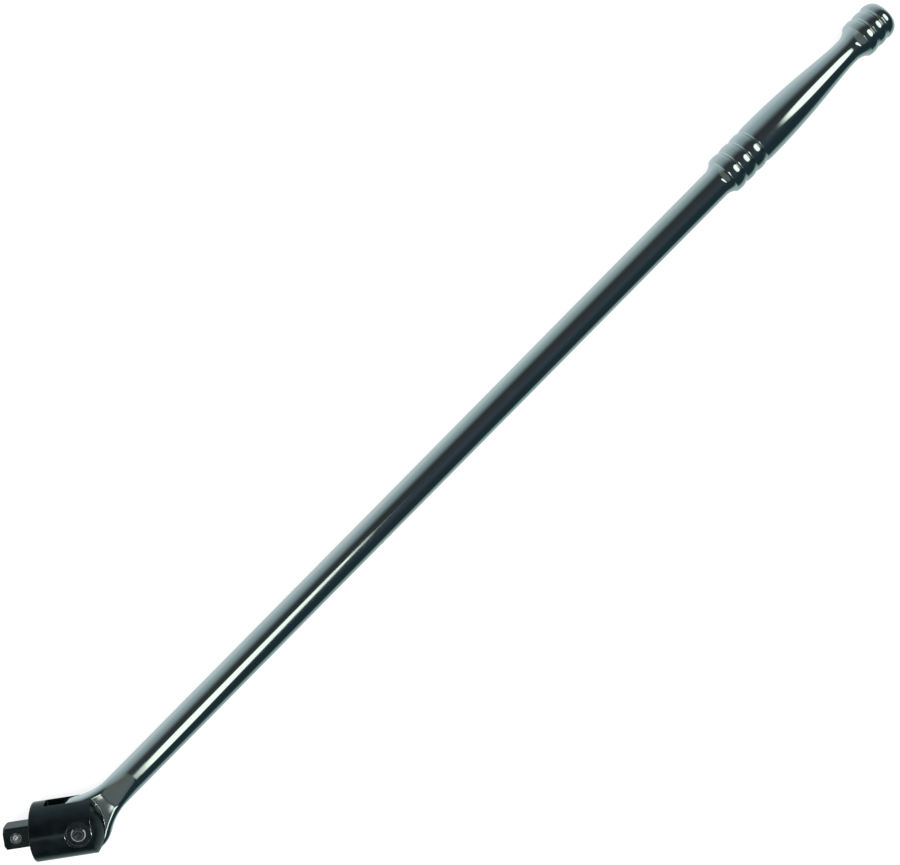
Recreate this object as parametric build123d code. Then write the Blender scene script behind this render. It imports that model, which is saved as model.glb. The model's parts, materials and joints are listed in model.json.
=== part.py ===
from build123d import *
import math
import os

# A half inch drive breaker bar with a flexible head, lying level. +X runs along the bar
# from the head to the knob and +Z runs along the pivot pin. All sizes are millimetres.
# Stations along the bar and along the head are measured from the pivot.

# Drive head
bend_angle = 38.0
head_radius = 17.1
front_face = 27.6
front_round = 0.9
rear_rim = 7.6
rear_end = 13.5
rear_end_radius = 4.8
dome_rise = 1.0
slot_width = 10.2
slot_floor = 19.6
slot_edge_round = 0.5
rim_round = 0.6

# Square drive
square_side = 12.7
square_length = 16.9
square_corner = 1.3
square_root_round = 0.6
tip_cone_length = 1.6
tip_cone_radius = 7.2

# Pivot pin and its snap rings
pin_radius = 3.5
pin_half_length = 16.2
pin_chamfer = 0.4
pin_dimple_radius = 2.2
pin_dimple_depth = 0.9
pin_fork_clearance = 0.03
pin_tongue_clearance = 0.05
counterbore_radius = 7.1
counterbore_floor = 14.4
counterbore_round = 0.3
ring_wire_radius = 0.5
ring_mean_radius = 3.8
ring_gap_angle = 90.0
ring_gap_direction = 45.0
ring_seat_gap = 0.03

# Spring plunger that holds the head at an angle
plunger_radius = 3.0
plunger_length = 9.0
plunger_bore_radius = 3.06
plunger_bore_depth = 12.6
plunger_nose_gap = 0.05
plunger_spring_mean_radius = 2.35
plunger_spring_wire = 0.8
plunger_spring_turns = 4.5

# Ball that holds a socket on the square
ball_radius = 2.38
ball_station = 37.4
ball_height = 1.0
ball_bore_radius = 2.44
ball_bore_depth = 10.4
ball_seat_gap = 0.03
stake_radius = 2.85
stake_width = 0.5
stake_depth = 0.3
ball_spring_mean_radius = 1.65
ball_spring_wire = 0.55
ball_spring_turns = 6.0

# Springs stand this far from what they bear on
spring_end_gap = 0.05

# Tongue of the bar, and its forged neck that turns from flat to round
tongue_radius = 17.0
tongue_thickness = 10.0
tongue_edge_round = 3.0
neck_fillet = 35.0
neck_end = 44.0
neck_steps = 10
neck_flat_half = 1.6
neck_rise_from = 0.36

# Turned bar
shaft_radius = 9.1
flare_start = 528.0
ring_start = 534.4
ring_radius = 12.4
ring_crown = 0.4
groove_pitch = 8.4
groove_width = 1.8
groove_depth = 1.3
groove_round = 0.3
first_groove = 541.7
grip_crown_station = 562.8
grip_crown_radius = 480.0
grip_taper_angle = 5.5
grip_taper_length = 17.5
waist_radius_of_curve = 120.0
knob_flare_radius = 11.5
knob_radius = 11.75
knob_first_groove = 652.3
knob_groove_pitch = 7.0
knob_end = 666.5
knob_end_round = 2.0
knob_end_crown = 1.5

groove_half = groove_width / 2
straight_to_rest = Location((0, 0, 0), (0, 0, -bend_angle))


def coil_spring(mean_radius, wire, turns, length):
    """Open coil spring along +Z whose wire lies between z = 0 and z = length."""
    rise = length - wire
    coil = Helix(pitch=rise / turns, height=rise, radius=mean_radius)
    section = Plane(origin=coil @ 0, z_dir=coil % 0) * Circle(wire / 2)
    return sweep(section, path=coil, is_frenet=True).moved(Location((0, 0, wire / 2)))


# ---------------------------------------------------------------- the bar


def smooth(value):
    """0 below 0, 1 above 1, and a smooth rise between."""
    value = min(max(value, 0.0), 1.0)
    return value**2 * (3 - 2 * value)


neck_reach = math.sqrt((tongue_radius + neck_fillet) ** 2 - (shaft_radius + neck_fillet) ** 2)
neck_start = tongue_radius * neck_reach / (tongue_radius + neck_fillet)


def tongue():
    """Round flat nose with rounded edges, cut off where the neck begins."""
    disc = Cylinder(tongue_radius, tongue_thickness)
    disc = fillet(disc.edges().filter_by(GeomType.CIRCLE), tongue_edge_round)
    beyond = Box(tongue_radius, 3 * tongue_radius, 2 * tongue_thickness)
    return disc - Pos(neck_start + tongue_radius / 2, 0, 0) * beyond


def neck_half_width(station):
    if station >= neck_reach:
        return shaft_radius
    run = neck_reach - station
    return shaft_radius + neck_fillet - math.sqrt(neck_fillet**2 - run**2)


def neck_section(part):
    """Outline of the neck, from the rounded slab at 0 to a full circle at 1."""
    station = neck_start + (neck_end - neck_start) * part
    half_width = neck_half_width(station)
    slab_half = tongue_thickness / 2
    rise = smooth((part - neck_rise_from) / (1 - neck_rise_from))
    half_height = slab_half + (shaft_radius - slab_half) * rise
    nose_flat = math.sqrt((tongue_radius - tongue_edge_round) ** 2 - neck_start**2)
    flat_y = neck_flat_half + (nose_flat - neck_flat_half) * (1 - part) ** 2
    corner_y = half_width - flat_y
    full_corner = half_height - neck_flat_half
    corner_z = tongue_edge_round + (full_corner - tongue_edge_round) * smooth(1.5 * part)
    flat_z = half_height - corner_z
    bulge = smooth((part - 0.2) / 0.8)

    side_y = half_width - bulge * half_width * (1 - math.sqrt(1 - (flat_z / half_height) ** 2))
    top_z = half_height - bulge * half_height * (1 - math.sqrt(1 - (flat_y / half_width) ** 2))
    diagonal = math.sqrt(0.5)
    middle_y = (1 - bulge) * (flat_y + corner_y * diagonal) + bulge * half_width * diagonal
    middle_z = (1 - bulge) * (flat_z + corner_z * diagonal) + bulge * half_height * diagonal

    def side(turn):
        start, end = (turn * side_y, -turn * flat_z), (turn * side_y, turn * flat_z)
        if bulge == 0:
            return Line(start, end)
        return ThreePointArc(start, (turn * half_width, 0), end)

    def top(turn):
        start, end = (turn * flat_y, turn * top_z), (-turn * flat_y, turn * top_z)
        if bulge == 0:
            return Line(start, end)
        return ThreePointArc(start, (0, turn * half_height), end)

    def rounded_corner(across, up):
        side_end = (across * side_y, up * flat_z)
        top_end = (across * flat_y, up * top_z)
        middle = (across * middle_y, up * middle_z)
        ends = (side_end, top_end) if across * up > 0 else (top_end, side_end)
        return ThreePointArc(ends[0], middle, ends[1])

    edges = [
        side(1),
        rounded_corner(1, 1),
        top(1),
        rounded_corner(-1, 1),
        side(-1),
        rounded_corner(-1, -1),
        top(-1),
        rounded_corner(1, -1),
    ]
    across_bar = Plane(origin=(station, 0, 0), x_dir=(0, 1, 0), z_dir=(1, 0, 0))
    return across_bar * make_face(edges)


def neck():
    """Forged run from the flat tongue to the round shaft."""
    return loft([neck_section(step / neck_steps) for step in range(neck_steps + 1)])


def crowned_ring(start, end, top):
    ThreePointArc((start, top - ring_crown), ((start + end) / 2, top), (end, top - ring_crown))


def vee_groove(station, top):
    edge = top - ring_crown
    bottom = (station, top - groove_depth)
    Line((station - groove_half, edge), bottom)
    Line(bottom, (station + groove_half, edge))


def is_crease(vertex, grooves):
    """True at the bottom and at both edges of a groove."""
    return vertex.Y > 1 and any(abs(vertex.X - groove) < groove_half + 0.01 for groove in grooves)


def turned_bar():
    """Shaft, ringed grip and knob, turned about the X axis."""
    front_grooves = [first_groove + groove_pitch * i for i in range(3)]
    knob_grooves = [knob_first_groove + knob_groove_pitch * i for i in range(2)]
    ring_edge = ring_radius - ring_crown
    knob_edge = knob_radius - ring_crown
    taper = math.radians(grip_taper_angle)
    with BuildSketch(Plane.XY) as profile:
        with BuildLine():
            Line((neck_end, 0), (neck_end, shaft_radius))
            Line((neck_end, shaft_radius), (flare_start, shaft_radius))
            TangentArc((flare_start, shaft_radius), (ring_start, ring_edge), tangent=(1, 0))
            station = ring_start
            for groove in front_grooves:
                crowned_ring(station, groove - groove_half, ring_radius)
                vee_groove(groove, ring_radius)
                station = groove + groove_half

            grip_top = (grip_crown_station, ring_radius)
            TangentArc(grip_top, (station, ring_edge), tangent=(-1, 0))
            crown = JernArc(grip_top, (1, 0), grip_crown_radius, -grip_taper_angle)
            slope = PolarLine(crown @ 1, grip_taper_length, -grip_taper_angle)
            down = (math.cos(taper), -math.sin(taper))
            waist = JernArc(slope @ 1, down, waist_radius_of_curve, grip_taper_angle)
            flare_rise = knob_edge - (waist @ 1).Y
            flare_angle = math.acos(1 - flare_rise / knob_flare_radius)
            flare = JernArc(waist @ 1, (1, 0), knob_flare_radius, math.degrees(flare_angle))

            station = (flare @ 1).X
            for groove in knob_grooves:
                crowned_ring(station, groove - groove_half, knob_radius)
                vee_groove(groove, knob_radius)
                station = groove + groove_half
            last_top = (station + knob_end_crown, knob_radius)
            end_corner = (knob_end, knob_radius - knob_end_round)
            TangentArc(last_top, (station, knob_edge), tangent=(-1, 0))
            TangentArc(last_top, end_corner, tangent=(1, 0))
            Line(end_corner, (knob_end, 0))
            Line((knob_end, 0), (neck_end, 0))
        make_face()
        grooves = front_grooves + knob_grooves
        creases = profile.vertices().filter_by(lambda vertex: is_crease(vertex, grooves))
        fillet(creases, groove_round)
    return revolve(profile.sketch, axis=Axis.X)


def handle_bar():
    bar = tongue() + neck() + turned_bar()
    return bar - Cylinder(pin_radius + pin_tongue_clearance, 2 * tongue_thickness)


# ---------------------------------------------------------------- the head
# The head is drawn straight, with its square towards -X, and bent at the end.


def barrel():
    """Round head, with a rounded front edge and a domed rear."""
    chord = Vector(rear_end - rear_rim, rear_end_radius - head_radius)
    outward = Vector(-chord.Y, chord.X).normalized()
    middle = Vector(rear_rim, head_radius) + chord * 0.5 + outward * dome_rise
    front_top = (-front_face + front_round, head_radius)
    with BuildSketch(Plane.XY) as profile:
        with BuildLine():
            Line((-front_face, 0), (-front_face, head_radius - front_round))
            TangentArc(front_top, (-front_face, head_radius - front_round), tangent=(-1, 0))
            Line(front_top, (rear_rim, head_radius))
            ThreePointArc((rear_rim, head_radius), middle, (rear_end, rear_end_radius))
            Line((rear_end, rear_end_radius), (rear_end, 0))
            Line((rear_end, 0), (-front_face, 0))
        make_face()
        rim = profile.vertices().filter_by(lambda v: v.Y > 1 and abs(v.X - rear_rim) < 0.01)
        fillet(rim, rim_round)
    return revolve(profile.sketch, axis=Axis.X)


def square_drive():
    """Male square with rounded corners and a coned tip."""
    start = -front_face - square_length
    across_head = Plane(origin=(start, 0, 0), x_dir=(0, 1, 0), z_dir=(1, 0, 0))
    outline = across_head * RectangleRounded(square_side, square_side, square_corner)
    block = extrude(outline, square_length + 1)
    widest = square_side * math.sqrt(0.5)
    with BuildSketch(Plane.XY) as profile:
        with BuildLine():
            Polyline(
                (start, 0),
                (start, tip_cone_radius),
                (start + tip_cone_length, widest),
                (-front_face + 1, widest),
                (-front_face + 1, 0),
                close=True,
            )
        make_face()
    return block & revolve(profile.sketch, axis=Axis.X)


def ball_pocket():
    """Blind bore for the socket ball, with a narrowed mouth and a stake mark."""
    top = square_side / 2
    centre = top + ball_height - ball_radius
    seat_radius = ball_radius + ball_seat_gap
    mouth = math.sqrt(seat_radius**2 - (top - centre) ** 2)
    seat_drop = (ball_bore_radius - mouth) * mouth / (top - centre)
    with BuildSketch(Plane.XZ) as profile:
        with BuildLine():
            Polyline(
                (0, top - ball_bore_depth),
                (ball_bore_radius, top - ball_bore_depth),
                (ball_bore_radius, top - seat_drop),
                (mouth, top),
                (mouth, top + 1),
                (0, top + 1),
                close=True,
            )
        make_face()
    pocket = revolve(profile.sketch, axis=Axis.Z)
    mark = Circle(stake_radius + stake_width / 2) - Circle(stake_radius - stake_width / 2)
    pocket += Pos(0, 0, top - stake_depth) * extrude(mark, 1)
    return Pos(-ball_station, 0, 0) * pocket


def is_counterbore_mouth(edge):
    """True where the wall of a counterbore meets the round of the barrel."""
    point = edge @ 0.3
    on_wall = abs(math.hypot(point.X, point.Y) - counterbore_radius) < 0.01
    return on_wall and abs(point.Z) > counterbore_floor + 0.5


def drive_head():
    solid = barrel() + square_drive()
    root_edges = solid.edges().filter_by(
        lambda e: abs(e.center().X + front_face) < 0.01 and e.bounding_box().size.Y < square_side
    )
    solid = fillet(root_edges, square_root_round)

    slot_length = slot_floor + rear_end + 1
    slot = Box(slot_length, 3 * head_radius, slot_width)
    solid -= Pos(slot_length / 2 - slot_floor, 0, 0) * slot
    slot_sides = solid.edges().filter_by(
        lambda e: abs(abs(e.center().Z) - slot_width / 2) < 0.01 and e.center().X > -slot_floor + 1
    )
    solid = fillet(slot_sides, slot_edge_round)

    solid -= Cylinder(pin_radius + pin_fork_clearance, 3 * head_radius)
    for side in (1, -1):
        height = head_radius
        seat = Cylinder(counterbore_radius, height)
        solid -= Pos(0, 0, side * (counterbore_floor + height / 2)) * seat
    solid = fillet(solid.edges().filter_by(is_counterbore_mouth), counterbore_round)

    bore = Rot(0, 90, 0) * Cylinder(plunger_bore_radius, plunger_bore_depth + 1)
    solid -= Pos(-slot_floor + 1 - (plunger_bore_depth + 1) / 2, 0, 0) * bore
    return solid - ball_pocket()


def pivot_pin():
    pin = Cylinder(pin_radius, 2 * pin_half_length)
    pin = chamfer(pin.edges().filter_by(GeomType.CIRCLE), pin_chamfer)
    ring_height = counterbore_floor + ring_wire_radius + ring_seat_gap
    groove_outline = Circle(ring_wire_radius + ring_seat_gap)
    for side in (1, -1):
        section = Plane.XZ * Pos(ring_mean_radius, side * ring_height) * groove_outline
        pin -= revolve(section, axis=Axis.Z)
        dimple = Cone(pin_dimple_radius, pin_dimple_radius / 3, pin_dimple_depth)
        end = Pos(0, 0, side * (pin_half_length - pin_dimple_depth / 2))
        pin -= end * (Rot(180, 0, 0) * dimple if side > 0 else dimple)
    return pin


def retaining_ring(side):
    """Round wire snap ring in the groove of the pin, open at one side."""
    height = side * (counterbore_floor + ring_wire_radius + ring_seat_gap)
    section = Plane.XZ * Pos(ring_mean_radius, height) * Circle(ring_wire_radius)
    hoop = revolve(section, axis=Axis.Z, revolution_arc=360 - ring_gap_angle)
    return Rot(0, 0, ring_gap_direction + bend_angle + ring_gap_angle / 2) * hoop


def friction_plunger():
    """Round nosed plunger in the slot floor that presses on the tongue."""
    tip = -tongue_radius - plunger_nose_gap
    body_length = plunger_length - plunger_radius
    body = Rot(0, 90, 0) * Cylinder(plunger_radius, body_length)
    nose_centre = tip - plunger_radius
    body = Pos(nose_centre - body_length / 2, 0, 0) * body
    return body + Pos(nose_centre, 0, 0) * Sphere(plunger_radius)


def friction_spring():
    bore_end = -slot_floor - plunger_bore_depth
    plunger_back = -tongue_radius - plunger_nose_gap - plunger_length
    length = plunger_back - bore_end - 2 * spring_end_gap
    spring = coil_spring(
        plunger_spring_mean_radius, plunger_spring_wire, plunger_spring_turns, length
    )
    return Pos(bore_end + spring_end_gap, 0, 0) * (Rot(0, 90, 0) * spring)


def socket_ball():
    centre = square_side / 2 + ball_height - ball_radius
    return Pos(-ball_station, 0, centre) * Sphere(ball_radius)


def socket_ball_spring():
    bore_end = square_side / 2 - ball_bore_depth
    centre = square_side / 2 + ball_height - ball_radius
    reach = ball_radius + ball_spring_wire / 2 + spring_end_gap
    top = centre - math.sqrt(reach**2 - ball_spring_mean_radius**2) + ball_spring_wire / 2
    length = top - bore_end - spring_end_gap
    spring = coil_spring(ball_spring_mean_radius, ball_spring_wire, ball_spring_turns, length)
    return Pos(-ball_station, 0, bore_end + spring_end_gap) * spring


# ---------------------------------------------------------------- assembly

head_pieces = {
    "drive_head": drive_head(),
    "pivot_pin": pivot_pin(),
    "retaining_ring_upper": retaining_ring(1),
    "retaining_ring_lower": retaining_ring(-1),
    "friction_plunger": friction_plunger(),
    "friction_spring": friction_spring(),
    "socket_ball": socket_ball(),
    "socket_ball_spring": socket_ball_spring(),
}
pieces = {"handle_bar": handle_bar()}
for name, piece in head_pieces.items():
    pieces[name] = straight_to_rest * piece

# The origin is the middle of the whole tool's footprint, at its lowest height.
box = Compound(list(pieces.values())).bounding_box()
to_origin = Location((-box.center().X, -box.center().Y, -box.min.Z))
print("pivot at", to_origin.position)

os.makedirs("parts", exist_ok=True)
for name, piece in pieces.items():
    export_step(to_origin * piece, f"parts/{name}.step")
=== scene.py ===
import bmesh
import bpy
import json
import math
from mathutils import Matrix, Vector


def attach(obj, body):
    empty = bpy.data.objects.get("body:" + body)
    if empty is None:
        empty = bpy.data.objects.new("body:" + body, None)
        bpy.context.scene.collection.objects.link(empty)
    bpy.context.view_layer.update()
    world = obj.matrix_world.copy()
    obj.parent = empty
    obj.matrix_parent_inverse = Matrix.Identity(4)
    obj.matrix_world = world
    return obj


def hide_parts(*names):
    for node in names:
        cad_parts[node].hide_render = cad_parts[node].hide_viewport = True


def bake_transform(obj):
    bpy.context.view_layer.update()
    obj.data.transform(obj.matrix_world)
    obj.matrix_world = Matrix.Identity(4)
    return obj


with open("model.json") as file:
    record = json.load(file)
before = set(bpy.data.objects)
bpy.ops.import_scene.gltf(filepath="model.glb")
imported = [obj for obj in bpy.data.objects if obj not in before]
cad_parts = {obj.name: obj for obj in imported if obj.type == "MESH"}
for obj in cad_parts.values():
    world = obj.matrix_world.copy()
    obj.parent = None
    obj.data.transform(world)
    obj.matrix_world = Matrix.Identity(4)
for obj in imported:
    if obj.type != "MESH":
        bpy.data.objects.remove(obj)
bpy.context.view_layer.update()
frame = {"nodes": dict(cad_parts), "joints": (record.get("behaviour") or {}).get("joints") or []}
joints = {joint["name"]: joint for joint in frame["joints"]}
pivot = Vector(joints["head_flex"]["pos_m"])
mm = 0.001

# Camera, from the pivot, in metres
camera_height = 0.7627
camera_forward = 0.3148
camera_left = 0.0085
camera_roll = math.radians(7.4)
bar_angle = math.radians(45.35)
lens = 52.0

# Lamps for the glints on the head: watts and metres across
glint_power = 35.0
glint_size = 0.14

# Bar, in millimetres. Stations run from the pivot towards the knob.
tongue_radius = 17.0
tongue_half = 5.0
tongue_edge_round = 3.0
neck_fillet = 35.0
pin_hole_radius = 3.55
neck_end = 44.0
neck_flat_half = 1.6
neck_rise_from = 0.36
neck_bulge_from = 0.2
shaft_radius = 9.1
flare_start = 528.0
ring_start = 534.4
ring_radius = 12.4
ring_crown = 0.4
groove_pitch = 8.4
groove_half = 0.9
groove_depth = 1.3
groove_round = 0.3
groove_lip_round = 0.56 * groove_round
edge_round = 0.12
first_groove = 541.7
crown_station = 562.8
crown_curve = 480.0
taper = math.radians(5.5)
taper_length = 17.5
waist_curve = 120.0
knob_flare_curve = 11.5
knob_radius = 11.75
knob_first_groove = 652.3
knob_groove_pitch = 7.0
knob_end = 666.5
knob_end_round = 2.0
knob_end_crown = 1.5

# Steps around a section of the bar: its sides, its corners, its top and bottom
side_steps = 8
corner_steps = 24
top_steps = 8
neck_steps = 60
nose_steps = 80

# Points closer than this are welded, in metres, and edges that turn more than this stay sharp
weld_distance = 2e-7
sharp_angle = math.radians(40)

# Grey and glow of the floor
floor_half = 4.0
floor_grey = 0.35
floor_glow = 0.72


def on_bar(x, y, z):
    """A point beside the bar, given in millimetres from the pivot."""
    return pivot + Vector((x, y, z)) * mm


# ---------------------------------------------------------------- bar mesh


def arc_through(start, middle, end, steps):
    """Points on the arc through three points, without its end."""
    (ax, ay), (bx, by), (cx, cy) = start, middle, end
    double_area = 2 * ((bx - ax) * (cy - ay) - (cx - ax) * (by - ay))
    if abs(double_area) < 1e-9:
        return [(ax + (cx - ax) * i / steps, ay + (cy - ay) * i / steps) for i in range(steps)]
    b2 = (bx - ax) ** 2 + (by - ay) ** 2
    c2 = (cx - ax) ** 2 + (cy - ay) ** 2
    ox = ax + ((cy - ay) * b2 - (by - ay) * c2) / double_area
    oy = ay + ((bx - ax) * c2 - (cx - ax) * b2) / double_area
    radius = math.hypot(ax - ox, ay - oy)
    first = math.atan2(ay - oy, ax - ox)
    last = math.atan2(cy - oy, cx - ox)
    turn = math.remainder(last - first, 2 * math.pi)
    angles = [first + turn * i / steps for i in range(steps)]
    return [(ox + radius * math.cos(a), oy + radius * math.sin(a)) for a in angles]


def smooth(value):
    """0 below 0, 1 above 1, and a smooth rise between."""
    value = min(max(value, 0.0), 1.0)
    return value**2 * (3 - 2 * value)


neck_reach = math.sqrt((tongue_radius + neck_fillet) ** 2 - (shaft_radius + neck_fillet) ** 2)
neck_start = tongue_radius * neck_reach / (tongue_radius + neck_fillet)


def neck_half_width(station):
    """From the tongue to the shaft, along a hollow arc."""
    if station >= neck_reach:
        return shaft_radius
    return shaft_radius + neck_fillet - math.sqrt(neck_fillet**2 - (neck_reach - station) ** 2)


def neck_section(part):
    """Outline of the neck, from the rounded slab at 0 to a full circle at 1."""
    half_width = neck_half_width(neck_start + (neck_end - neck_start) * part)
    rise = smooth((part - neck_rise_from) / (1 - neck_rise_from))
    half_height = tongue_half + (shaft_radius - tongue_half) * rise
    nose_flat = math.sqrt((tongue_radius - tongue_edge_round) ** 2 - neck_start**2)
    flat_y = neck_flat_half + (nose_flat - neck_flat_half) * (1 - part) ** 2
    corner_y = half_width - flat_y
    # The corners reach their full size two thirds of the way along
    full_corner = half_height - neck_flat_half
    corner_z = tongue_edge_round + (full_corner - tongue_edge_round) * smooth(1.5 * part)
    flat_z = half_height - corner_z
    bulge = smooth((part - neck_bulge_from) / (1 - neck_bulge_from))
    side_y = half_width - bulge * half_width * (1 - math.sqrt(1 - (flat_z / half_height) ** 2))
    top_z = half_height - bulge * half_height * (1 - math.sqrt(1 - (flat_y / half_width) ** 2))
    diagonal = math.sqrt(0.5)
    middle_y = (1 - bulge) * (flat_y + corner_y * diagonal) + bulge * half_width * diagonal
    middle_z = (1 - bulge) * (flat_z + corner_z * diagonal) + bulge * half_height * diagonal

    points = []
    for turn in (1, -1):
        side_end = (turn * side_y, turn * flat_z)
        top_start = (turn * flat_y, turn * top_z)
        top_end = (-turn * flat_y, turn * top_z)
        next_side = (-turn * side_y, turn * flat_z)
        side_start = (turn * side_y, -turn * flat_z)
        points += arc_through(side_start, (turn * half_width, 0), side_end, side_steps)
        points += arc_through(side_end, (turn * middle_y, turn * middle_z), top_start, corner_steps)
        points += arc_through(top_start, (0, turn * half_height), top_end, top_steps)
        points += arc_through(top_end, (-turn * middle_y, turn * middle_z), next_side, corner_steps)
    return points


def level_arc(level, other, steps):
    """Points on the arc that leaves the first point level and ends at the other."""
    run, rise = other[0] - level[0], other[1] - level[1]
    radius = (run**2 + rise**2) / (2 * rise)
    last = math.asin(run / radius) if abs(run) < abs(radius) else math.copysign(math.pi / 2, run * radius)
    angles = [last * i / steps for i in range(steps + 1)]
    return [
        (level[0] + radius * math.sin(a), level[1] + radius * (1 - math.cos(a))) for a in angles
    ]


def bent_arc(start, heading, radius, turn, steps):
    """Points on an arc that starts along a heading and turns by an angle, up if positive."""
    sign = math.copysign(1, turn)
    cx = start[0] - sign * radius * math.sin(heading)
    cy = start[1] + sign * radius * math.cos(heading)
    headings = [heading + turn * i / steps for i in range(steps + 1)]
    return [(cx + sign * radius * math.sin(h), cy - sign * radius * math.cos(h)) for h in headings]


def crowned_ring(start, end, top):
    """Points over a ring, highest in its middle."""
    steps = 14
    places = [i / steps for i in range(steps + 1)]
    return [(start + (end - start) * u, top - ring_crown * (2 * u - 1) ** 2) for u in places]


def round_corners(points, reaches, steps=6):
    """The same line with some corners rounded. Reaches has how far each one is cut back."""
    result = []
    for i, point in enumerate(points):
        if i not in reaches:
            result.append(point)
            continue
        here = Vector(point)
        before = here + (Vector(points[i - 1]) - here).normalized() * reaches[i]
        after = here + (Vector(points[i + 1]) - here).normalized() * reaches[i]
        for j in range(steps + 1):
            u = j / steps
            place = before * (1 - u) ** 2 + here * 2 * u * (1 - u) + after * u**2
            result.append((place.x, place.y))
    return result


def bar_profile():
    """Radius along the turned bar, as (station, radius) points."""
    points = []
    corners = {}

    def add(run):
        fresh = [p for p in run if not points or math.dist(p, points[-1]) > 1e-6]
        points.extend(fresh)

    def mark(reach):
        corners[len(points) - 1] = reach

    def rings(start, first, pitch, count, top):
        """Crowned rings with a vee groove after each."""
        station = start
        for i in range(count):
            groove = first + pitch * i
            add(crowned_ring(station, groove - groove_half, top))
            mark(groove_lip_round)
            add([(groove, top - groove_depth)])
            mark(groove_round)
            station = groove + groove_half
            add([(station, top - ring_crown)])
            mark(groove_lip_round)
        return station

    shaft_steps = 48
    length = flare_start - neck_end
    add([(neck_end + length * i / shaft_steps, shaft_radius) for i in range(shaft_steps + 1)])
    add(level_arc((flare_start, shaft_radius), (ring_start, ring_radius - ring_crown), 16))
    mark(edge_round)
    station = rings(ring_start, first_groove, groove_pitch, 3, ring_radius)

    grip_top = (crown_station, ring_radius)
    add(reversed(level_arc(grip_top, (station, ring_radius - ring_crown), 16)))
    add(bent_arc(grip_top, 0.0, crown_curve, -taper, 24))
    start = points[-1]
    down = (math.cos(taper), -math.sin(taper))
    add([(start[0] + down[0] * s, start[1] + down[1] * s) for s in (5.8, 11.6, taper_length)])
    add(bent_arc(points[-1], -taper, waist_curve, taper, 16))
    waist = points[-1]
    rise = knob_radius - ring_crown - waist[1]
    flare_turn = math.acos(1 - rise / knob_flare_curve)
    add(bent_arc(waist, 0.0, knob_flare_curve, flare_turn, 20))
    mark(edge_round)
    station = rings(points[-1][0], knob_first_groove, knob_groove_pitch, 2, knob_radius)

    last_top = (station + knob_end_crown, knob_radius)
    add(reversed(level_arc(last_top, (station, knob_radius - ring_crown), 8)))
    add(level_arc(last_top, (knob_end, knob_radius - knob_end_round), 16))
    mark(edge_round)
    add([(knob_end, knob_radius - knob_end_round - 2)])

    return round_corners(points, corners)


def add_quads(mesh, grid, closed=False):
    """Joins rows of points with faces."""
    rows = [[mesh.verts.new(on_bar(*point)) for point in row] for row in grid]
    for low, high in zip(rows, rows[1:]):
        count = len(low)
        for j in range(count if closed else count - 1):
            k = (j + 1) % count
            mesh.faces.new((low[j], low[k], high[k], high[j]))


def edge_levels():
    """Radius and height down the rounded edge of the tongue, from top flat to bottom flat."""
    inner = tongue_radius - tongue_edge_round
    flat = tongue_half - tongue_edge_round
    levels = []
    for i in range(corner_steps + 1):
        angle = math.pi / 2 * i / corner_steps
        out, up = math.sin(angle), math.cos(angle)
        levels.append((inner + tongue_edge_round * out, flat + tongue_edge_round * up))
    side = [(tongue_radius, flat - 2 * flat * i / side_steps) for i in range(1, side_steps)]
    return levels + side + [(radius, -z) for radius, z in reversed(levels)]


def add_nose(mesh):
    """Round nose of the tongue, which ends in the plane where the neck begins. Returns its rows."""
    rows = []
    for radius, z in edge_levels():
        first = math.acos(neck_start / radius)
        angles = [first + 2 * (math.pi - first) * i / nose_steps for i in range(nose_steps + 1)]
        rows.append([(radius * math.cos(a), radius * math.sin(a), z) for a in angles])
    add_quads(mesh, rows)
    return rows


def add_flats(mesh, nose, across):
    """Flats of the tongue, from their outline in to the pin hole, and the wall of the hole."""
    border = [point[:2] for point in nose[0]] + across
    hole = []
    for x, y in border:
        scale = pin_hole_radius / math.hypot(x, y)
        hole.append((x * scale, y * scale))
    rims = []
    for z in (tongue_half, -tongue_half):
        rims.append([(x, y, z) for x, y in hole])
        add_quads(mesh, [[(x, y, z) for x, y in border], rims[-1]], closed=True)
    add_quads(mesh, rims, closed=True)


def add_neck(mesh, nose, across):
    """Neck, from the cut end of the nose to the round shaft."""
    plus_side = [(row[0][1], row[0][2]) for row in reversed(nose)]
    top = [(y, tongue_half) for _, y in reversed(across)]
    minus_side = [(row[-1][1], row[-1][2]) for row in nose]
    bottom = [(y, -tongue_half) for _, y in across]
    end_of_nose = plus_side + top + minus_side + bottom
    start = end_of_nose.index(min(end_of_nose, key=lambda p: math.dist(p, neck_section(0.0)[0])))
    rows = [[(neck_start, y, z) for y, z in end_of_nose[start:] + end_of_nose[:start]]]
    for i in range(1, neck_steps + 1):
        part = i / neck_steps
        station = neck_start + (neck_end - neck_start) * part
        rows.append([(station, y, z) for y, z in neck_section(part)])
    add_quads(mesh, rows, closed=True)


def add_turned(mesh):
    """Shaft, ringed grip and knob, with the flat end of the knob."""
    circle = [math.atan2(z, y) for y, z in neck_section(1.0)]
    rows = [[(s, r * math.cos(a), r * math.sin(a)) for a in circle] for s, r in bar_profile()]
    add_quads(mesh, rows, closed=True)
    mesh.faces.new([mesh.verts.new(on_bar(*point)) for point in rows[-1]])


def bar_mesh():
    """Tongue, neck, shaft, ringed grip and knob as one closed skin."""
    mesh = bmesh.new()
    nose = add_nose(mesh)
    flat_y = nose[0][0][1]
    across = [(neck_start, -flat_y + 2 * flat_y * i / top_steps) for i in range(1, top_steps)]
    add_flats(mesh, nose, across)
    add_neck(mesh, nose, across)
    add_turned(mesh)

    bmesh.ops.remove_doubles(mesh, verts=mesh.verts, dist=weld_distance)
    bmesh.ops.recalc_face_normals(mesh, faces=mesh.faces)
    for face in mesh.faces:
        face.smooth = True
    for edge in mesh.edges:
        if edge.calc_face_angle(0.0) > sharp_angle:
            edge.smooth = False
    data = bpy.data.meshes.new("chrome_bar")
    mesh.to_mesh(data)
    mesh.free()
    return data


# ---------------------------------------------------------------- materials


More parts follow.
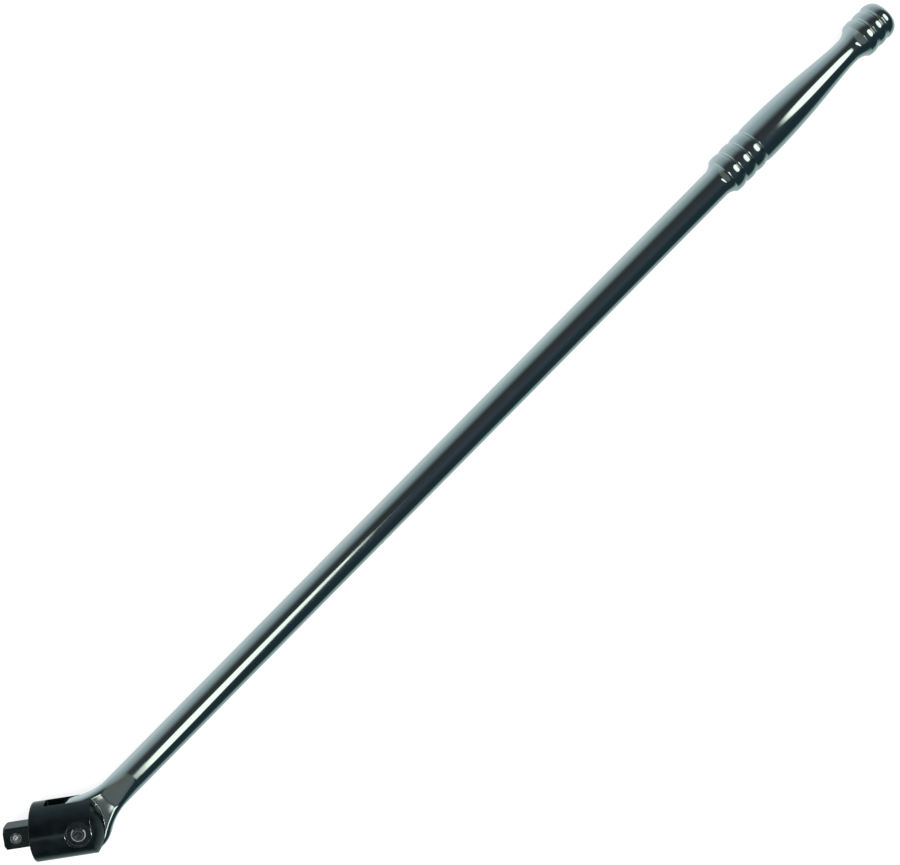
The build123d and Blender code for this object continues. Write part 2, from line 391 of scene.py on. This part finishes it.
def new_material(name):
    material = bpy.data.materials.new(name)
    material.use_nodes = True
    return material, material.node_tree.nodes, material.node_tree.links


def noise(nodes, links, scale, detail, stretch=(1, 1, 1)):
    """Noise over the object's own coordinates. Scale is in cycles per metre."""
    place = nodes.new("ShaderNodeTexCoord")
    mapping = nodes.new("ShaderNodeMapping")
    mapping.inputs["Scale"].default_value = stretch
    texture = nodes.new("ShaderNodeTexNoise")
    texture.inputs["Scale"].default_value = scale
    texture.inputs["Detail"].default_value = detail
    links.new(place.outputs["Object"], mapping.inputs["Vector"])
    links.new(mapping.outputs["Vector"], texture.inputs["Vector"])
    return texture.outputs["Fac"]


def spread(nodes, links, value, low, high, to_low, to_high):
    """Maps a value from one range to another, clamped."""
    node = nodes.new("ShaderNodeMapRange")
    node.inputs["From Min"].default_value = low
    node.inputs["From Max"].default_value = high
    node.inputs["To Min"].default_value = to_low
    node.inputs["To Max"].default_value = to_high
    links.new(value, node.inputs["Value"])
    return node.outputs["Result"]


def blend_colours(nodes, links, factor, first, second):
    """Mixes two colours, each a tuple or a socket."""
    node = nodes.new("ShaderNodeMix")
    node.data_type = "RGBA"
    links.new(factor, node.inputs["Factor"])
    for socket, colour in ((node.inputs[6], first), (node.inputs[7], second)):
        if isinstance(colour, tuple):
            socket.default_value = (*colour, 1.0)
        else:
            links.new(colour, socket)
    return node.outputs[2]


def combine(nodes, links, operation, first, second):
    """Applies a math operation to two numbers or sockets."""
    node = nodes.new("ShaderNodeMath")
    node.operation = operation
    for socket, value in zip(node.inputs, (first, second)):
        if isinstance(value, (int, float)):
            socket.default_value = value
        else:
            links.new(value, socket)
    return node.outputs[0]


def add_bump(nodes, links, height, distance):
    """Bump on the material's shader. Distance is in metres."""
    node = nodes.new("ShaderNodeBump")
    node.inputs["Strength"].default_value = 1.0
    node.inputs["Distance"].default_value = distance
    links.new(height, node.inputs["Height"])
    links.new(node.outputs["Normal"], nodes["Principled BSDF"].inputs["Normal"])


def edge_mask(nodes, links, radius):
    """About 1 along convex edges and 0 on open faces."""
    bevel = nodes.new("ShaderNodeBevel")
    bevel.samples = 8
    bevel.inputs["Radius"].default_value = radius
    geometry = nodes.new("ShaderNodeNewGeometry")
    dot = nodes.new("ShaderNodeVectorMath")
    dot.operation = "DOT_PRODUCT"
    links.new(bevel.outputs["Normal"], dot.inputs[0])
    links.new(geometry.outputs["Normal"], dot.inputs[1])
    return spread(nodes, links, dot.outputs["Value"], 0.995, 0.9, 0.0, 1.0)


def chrome():
    """Polished chrome with smudges, haze and fine scratches along the bar."""
    material, nodes, links = new_material("bar_chrome")
    shader = nodes["Principled BSDF"]
    shader.inputs["Metallic"].default_value = 1.0
    smudge = noise(nodes, links, 38.0, 4.0, (0.45, 1.0, 1.0))
    haze = spread(nodes, links, smudge, 0.42, 0.72, 0.0, 1.0)
    patch = noise(nodes, links, 34.0, 5.0, (0.6, 1.6, 1.0))
    colour = blend_colours(nodes, links, haze, (0.64, 0.685, 0.69), (0.57, 0.62, 0.63))
    links.new(colour, shader.inputs["Base Color"])
    scratches = noise(nodes, links, 900.0, 2.0, (0.03, 1.0, 1.0))
    fine = spread(nodes, links, scratches, 0.58, 0.72, 0.0, 0.04)
    rough = spread(nodes, links, smudge, 0.40, 0.75, 0.045, 0.12)
    rough = combine(nodes, links, "ADD", rough, spread(nodes, links, patch, 0.56, 0.68, 0.0, 0.10))
    links.new(combine(nodes, links, "ADD", rough, fine), shader.inputs["Roughness"])
    ripple = noise(nodes, links, 120.0, 1.0, (0.25, 1.0, 1.0))
    height = combine(nodes, links, "ADD", ripple, combine(nodes, links, "MULTIPLY", scratches, 0.08))
    add_bump(nodes, links, height, 0.000012)
    return material


def black_oxide():
    """Satin black with a mottled sheen, and edges lightened partly by wear and partly as a painted
    highlight.
    """
    material, nodes, links = new_material("head_black_oxide")
    shader = nodes["Principled BSDF"]
    shader.inputs["Metallic"].default_value = 0.0
    shader.inputs["IOR"].default_value = 1.42
    shader.inputs["Specular Tint"].default_value = (0.75, 1.0, 1.0, 1.0)
    mottle = noise(nodes, links, 160.0, 5.0)
    tone = spread(nodes, links, mottle, 0.3, 0.7, 0.0, 1.0)
    colour = blend_colours(nodes, links, tone, (0.0015, 0.0025, 0.003), (0.004, 0.006, 0.007))
    # Lighter grey along the edges: partly wear, partly a painted edge highlight.
    wear_and_edge_highlight = combine(
        nodes, links, "MULTIPLY", edge_mask(nodes, links, 0.0006),
        spread(nodes, links, noise(nodes, links, 700.0, 3.0), 0.42, 0.62, 0.22, 0.7),
    )
    colour = blend_colours(nodes, links, wear_and_edge_highlight, colour, (0.20, 0.21, 0.21))
    links.new(colour, shader.inputs["Base Color"])
    links.new(spread(nodes, links, mottle, 0.3, 0.7, 0.14, 0.24), shader.inputs["Roughness"])
    grain = noise(nodes, links, 2600.0, 3.0)
    add_bump(nodes, links, grain, 0.00001)
    return material


def turned_steel(name, light, dark, roughness, metallic=1.0):
    """Bare steel with a fine grain and a mottled sheen."""
    material, nodes, links = new_material(name)
    shader = nodes["Principled BSDF"]
    shader.inputs["Metallic"].default_value = metallic
    mottle = noise(nodes, links, 420.0, 4.0)
    colour = blend_colours(nodes, links, spread(nodes, links, mottle, 0.35, 0.65, 0, 1), dark, light)
    links.new(colour, shader.inputs["Base Color"])
    rough = spread(nodes, links, mottle, 0.3, 0.7, roughness * 0.8, roughness * 1.25)
    links.new(rough, shader.inputs["Roughness"])
    add_bump(nodes, links, noise(nodes, links, 3000.0, 2.0), 0.000006)
    return material


def give(node, material):
    """Puts a material on a node of the frame."""
    for material_slot in frame["nodes"][node].material_slots:
        material_slot.material = material


# ---------------------------------------------------------------- studio


def make_camera():
    """Looks down on the bar, which runs up to the right."""
    data = bpy.data.cameras.new("camera")
    data.lens = lens
    data.sensor_width = 36.0
    data.clip_start = 0.01
    camera = bpy.data.objects.new("camera", data)
    bpy.context.scene.collection.objects.link(camera)
    tilt = Matrix.Rotation(-camera_roll, 4, "X")
    place = tilt @ Matrix.Translation((camera_forward, camera_left, camera_height))
    camera.matrix_world = Matrix.Translation(pivot) @ place @ Matrix.Rotation(-bar_angle, 4, "Z")
    bpy.context.scene.camera = camera


def make_floor():
    """A pale floor that the metal doesn't mirror."""
    reach = floor_half
    corners = [(-reach, -reach, 0), (reach, -reach, 0), (reach, reach, 0), (-reach, reach, 0)]
    data = bpy.data.meshes.new("floor")
    data.from_pydata(corners, [], [(0, 1, 2, 3)])
    floor = bpy.data.objects.new("floor", data)
    bpy.context.scene.collection.objects.link(floor)
    material, nodes, links = new_material("pale_floor")
    shader = nodes["Principled BSDF"]
    shader.inputs["Roughness"].default_value = 0.9
    shader.inputs["Specular IOR Level"].default_value = 0.0
    shader.inputs["Base Color"].default_value = (floor_grey, floor_grey, floor_grey, 1.0)
    shader.inputs["Emission Color"].default_value = (1.0, 1.0, 1.0, 1.0)
    shader.inputs["Emission Strength"].default_value = floor_glow
    data.materials.append(material)
    floor.visible_glossy = False


# Light of the room by angle about the bar, in degrees: 0 is overhead and + is towards -Y.
# Each stop has a brightness and the share of red and of blue beside green.
room = (
    (-180, 0.80, 0.85, 1.00), (-110, 0.72, 0.88, 1.02), (-74, 0.46, 0.76, 1.05),
    (-60, 0.38, 0.77, 1.03), (-48, 0.23, 0.78, 1.02), (-37, 0.10, 0.78, 1.02),
    (-26, 0.044, 0.86, 1.05), (0, 0.050, 0.86, 1.15), (30, 0.064, 0.70, 1.25),
    (60, 0.036, 0.50, 1.30), (100, 0.036, 0.45, 1.10), (108, 0.13, 0.60, 1.02),
    (120, 0.44, 0.74, 1.00), (180, 0.72, 0.84, 1.00),
)
# Bright parts of the room. Each has the slopes along the bar between which it is seen, its angle
# about the bar and its half width in degrees, both with their growth for each unit of slope, and
# its strength. The first two are windows, and the third is a broad dim glow beyond the head.
windows = (
    ((-0.366, -0.105), (0.0, -84.0), (0.0, -74.0), 1.55),
    ((0.425, 1.25), (21.0, 0.0), (23.0, 0.0), 1.55),
    ((-1.9, -0.43), (0.0, 0.0), (60.0, 0.0), 0.10),
)
window_colour = (0.89, 1.0, 0.84, 1.0)
# Each one fades between these sums of cubed distances from its middle, along and around, in half widths
window_inner = 0.7
window_outer = 1.3


def add_room(nodes, links, angle):
    """Colour of the room by angle about the bar."""
    turn = spread(nodes, links, angle, -math.pi, math.pi, 0.0, 1.0)
    ramp = nodes.new("ShaderNodeValToRGB")
    elements = ramp.color_ramp.elements
    elements.remove(elements[1])
    for i, (degrees, value, red, blue) in enumerate(room):
        element = elements[0] if i == 0 else elements.new(degrees / 360 + 0.5)
        element.position = degrees / 360 + 0.5
        element.color = (value * red, value, value * blue, 1.0)
    links.new(turn, ramp.inputs["Fac"])
    return ramp.outputs["Color"]


def add_windows(nodes, links, light, angle, slope):
    """The same light with each window's added. Slope is along the bar."""
    degrees = combine(nodes, links, "MULTIPLY", angle, 180 / math.pi)

    def line(start, growth):
        return combine(nodes, links, "ADD", combine(nodes, links, "MULTIPLY", slope, growth), start)

    def cubed(value, middle, half):
        """Distance from the middle, in half widths, cubed."""
        away = combine(nodes, links, "SUBTRACT", value, middle)
        away = combine(nodes, links, "ABSOLUTE", combine(nodes, links, "DIVIDE", away, half), 0)
        return combine(nodes, links, "POWER", away, 3.0)

    for (low, high), centre, half, strength in windows:
        along = cubed(slope, (low + high) / 2, (high - low) / 2)
        around = cubed(degrees, line(*centre), line(*half))
        inside = nodes.new("ShaderNodeMapRange")
        inside.interpolation_type = "SMOOTHSTEP"
        inside.inputs["From Min"].default_value = window_outer
        inside.inputs["From Max"].default_value = window_inner
        inside.inputs["To Max"].default_value = strength
        links.new(combine(nodes, links, "ADD", along, around), inside.inputs["Value"])
        glow = nodes.new("ShaderNodeMix")
        glow.data_type = "RGBA"
        glow.blend_type = "ADD"
        glow.clamp_factor = False
        glow.inputs[7].default_value = window_colour
        links.new(inside.outputs["Result"], glow.inputs["Factor"])
        links.new(light, glow.inputs[6])
        light = glow.outputs[2]
    return light


def make_world():
    """A dim room with a light side, seen in reflections, and a pale backdrop."""
    world = bpy.data.worlds.new("world")
    bpy.context.scene.world = world
    world.use_nodes = True
    nodes, links = world.node_tree.nodes, world.node_tree.links
    coordinate = nodes.new("ShaderNodeTexCoord")
    turned = nodes.new("ShaderNodeVectorRotate")
    turned.rotation_type = "X_AXIS"
    turned.inputs["Angle"].default_value = camera_roll
    links.new(coordinate.outputs["Generated"], turned.inputs["Vector"])
    split = nodes.new("ShaderNodeSeparateXYZ")
    links.new(turned.outputs["Vector"], split.inputs[0])
    across = combine(nodes, links, "MULTIPLY", split.outputs["Y"], -1.0)
    angle = combine(nodes, links, "ARCTAN2", across, split.outputs["Z"])

    square_y = combine(nodes, links, "POWER", split.outputs["Y"], 2.0)
    square_z = combine(nodes, links, "POWER", split.outputs["Z"], 2.0)
    flat_length = combine(nodes, links, "SQRT", combine(nodes, links, "ADD", square_y, square_z), 0)
    slope = combine(nodes, links, "DIVIDE", split.outputs["X"], flat_length)
    light = add_windows(nodes, links, add_room(nodes, links, angle), angle, slope)

    rays = nodes.new("ShaderNodeLightPath")
    shown = blend_colours(nodes, links, rays.outputs["Is Camera Ray"], light, (1.0, 1.0, 1.0))
    links.new(shown, nodes["Background"].inputs["Color"])


def add_lamp(name, target, offset, size, power):
    """A soft round lamp that points at its target and that the camera doesn't see."""
    data = bpy.data.lights.new(name, "AREA")
    data.shape = "DISK"
    data.size = size
    data.energy = power
    lamp = bpy.data.objects.new(name, data)
    bpy.context.scene.collection.objects.link(lamp)
    lamp.location = target + offset
    lamp.rotation_euler = (-offset).to_track_quat("-Z", "Y").to_euler()
    lamp.visible_camera = False
    return lamp


def make_lights():
    """Large soft lamps that the metal doesn't mirror."""
    for name, place, size, power in (
        ("overhead", (0.1, 0.25, 1.5), 2.2, 36.0),
        ("side", (-0.2, -0.9, 1.3), 1.6, 12.0),
    ):
        lamp = add_lamp(name, Vector((0, 0, 0)), Vector(place), size, power)
        lamp.visible_glossy = False


def make_glints():
    """Two small lamps that only the head catches, on the rim behind its pivot."""
    receivers = bpy.data.collections.new("glint_receivers")
    receivers.objects.link(frame["nodes"]["drive_head"])
    for name, place, power in (
        ("lower_glint", (0.595, -0.927, 0.69), glint_power),
        ("upper_glint", (1.0, -0.407, 0.72), 0.5 * glint_power),
    ):
        lamp = add_lamp(name, pivot, Vector(place), glint_size, power)
        lamp.visible_diffuse = False
        lamp.light_linking.receiver_collection = receivers


def pressed_spring():
    """A copy of the spring under the socket ball, which stands in for the CAD part."""
    node = frame["nodes"]["socket_ball_spring"]
    spring = bpy.data.objects.new("ball_spring", node.data.copy())
    bpy.context.scene.collection.objects.link(spring)
    spring.matrix_world = node.matrix_world
    bpy.context.view_layer.update()
    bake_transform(spring)
    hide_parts("socket_ball_spring")
    return spring


# ---------------------------------------------------------------- scene

bar = bpy.data.objects.new("chrome_bar", bar_mesh())
bpy.context.scene.collection.objects.link(bar)
bar.data.materials.append(chrome())
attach(bar, "handle")
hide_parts("handle_bar")

steel = turned_steel("spring_steel", (0.45, 0.46, 0.47), (0.32, 0.33, 0.34), 0.3)
ring = turned_steel("ring_steel", (0.42, 0.46, 0.46), (0.28, 0.31, 0.31), 0.3, 0.55)
give("drive_head", black_oxide())
give("pivot_pin", turned_steel("pin_steel", (0.030, 0.036, 0.040), (0.016, 0.020, 0.022), 0.30, 0.3))
give("retaining_ring_upper", ring)
give("retaining_ring_lower", ring)
give("friction_plunger", turned_steel("plunger_steel", (0.5, 0.51, 0.51), (0.38, 0.39, 0.4), 0.22))
give("friction_spring", steel)
for material_slot in pressed_spring().material_slots:
    material_slot.material = steel
give("socket_ball", turned_steel("ball_steel", (0.80, 0.82, 0.82), (0.66, 0.68, 0.68), 0.14, 0.9))

make_camera()
make_floor()
make_world()
make_lights()
make_glints()
bpy.context.scene.view_settings.view_transform = "Standard"
